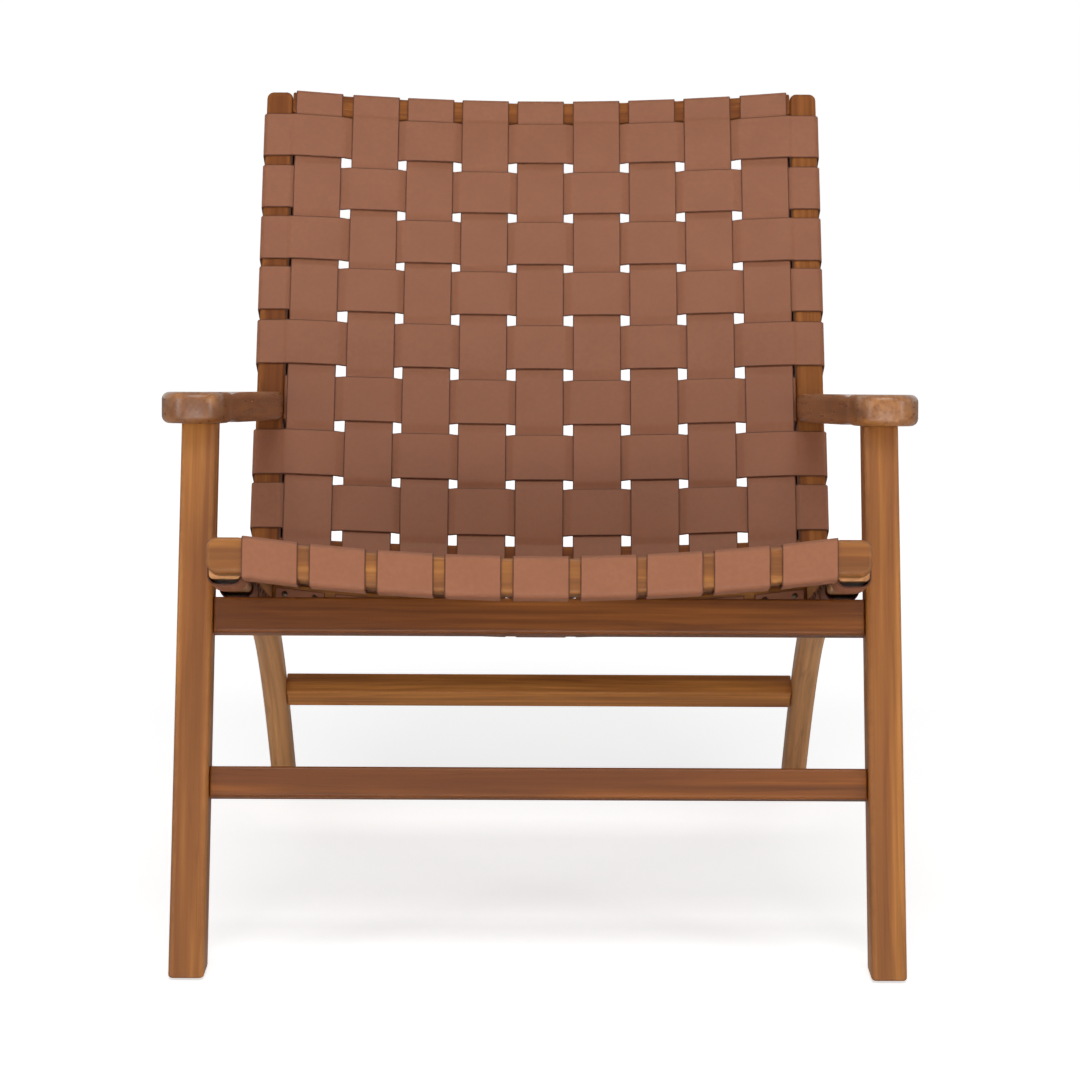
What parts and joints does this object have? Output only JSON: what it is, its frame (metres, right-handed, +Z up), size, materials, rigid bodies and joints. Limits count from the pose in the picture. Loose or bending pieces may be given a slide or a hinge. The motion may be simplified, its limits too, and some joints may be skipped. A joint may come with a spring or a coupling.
{
  "type": "woven leather strap lounge chair",
  "caption": "Low rigid lounge chair with a teak frame, bent rear legs, paddle arms, and a dished seat and reclined back woven from flat leather straps.",
  "frame": {"origin": "bottom centre of the chair's bounding box, on the floor", "axes": "+X runs across the chair towards the right of the front view, -Y is the front where the sitter's legs go, +Z is up"},
  "size_m": [0.698, 0.7982, 0.7684],
  "materials": {
    "teak": "oiled satin teak",
    "leather": "smooth brown strap leather",
    "steel": "plain steel fasteners",
    "glide": "pale nylon glides"
  },
  "bodies": {
    "root": {"front_leg_left": "teak", "arm_left": "teak", "seat_rail_left": "teak", "back_stile_left": "teak", "front_leg_right": "teak", "arm_right": "teak", "seat_rail_right": "teak", "back_stile_right": "teak", "seat_front_rail": "teak", "seat_rear_rail": "teak", "back_bottom_rail": "teak", "back_top_rail": "teak", "front_apron": "teak", "front_stretcher": "teak", "rear_stretcher": "teak", "seat_strap_1": "leather", "seat_strap_2": "leather", "seat_strap_3": "leather", "seat_strap_4": "leather", "seat_strap_5": "leather", "seat_strap_6": "leather", "seat_strap_7": "leather", "seat_strap_8": "leather", "seat_strap_9": "leather", "seat_cross_strap_1": "leather", "seat_cross_strap_2": "leather", "seat_cross_strap_3": "leather", "seat_cross_strap_4": "leather", "seat_cross_strap_5": "leather", "seat_cross_strap_6": "leather", "back_strap_1": "leather", "back_strap_2": "leather", "back_strap_3": "leather", "back_strap_4": "leather", "back_strap_5": "leather", "back_strap_6": "leather", "back_strap_7": "leather", "back_strap_8": "leather", "back_strap_9": "leather", "back_cross_strap_1": "leather", "back_cross_strap_2": "leather", "back_cross_strap_3": "leather", "back_cross_strap_4": "leather", "back_cross_strap_5": "leather", "back_cross_strap_6": "leather", "back_cross_strap_7": "leather", "back_cross_strap_8": "leather", "seat_bolt_left": "steel", "leg_spacer_left": "steel", "arm_screw_left": "steel", "seat_bolt_right": "steel", "leg_spacer_right": "steel", "arm_screw_right": "steel", "glide_front_left": "glide", "glide_rear_left": "glide", "glide_front_right": "glide", "glide_rear_right": "glide"}
  },
  "joints": []
}
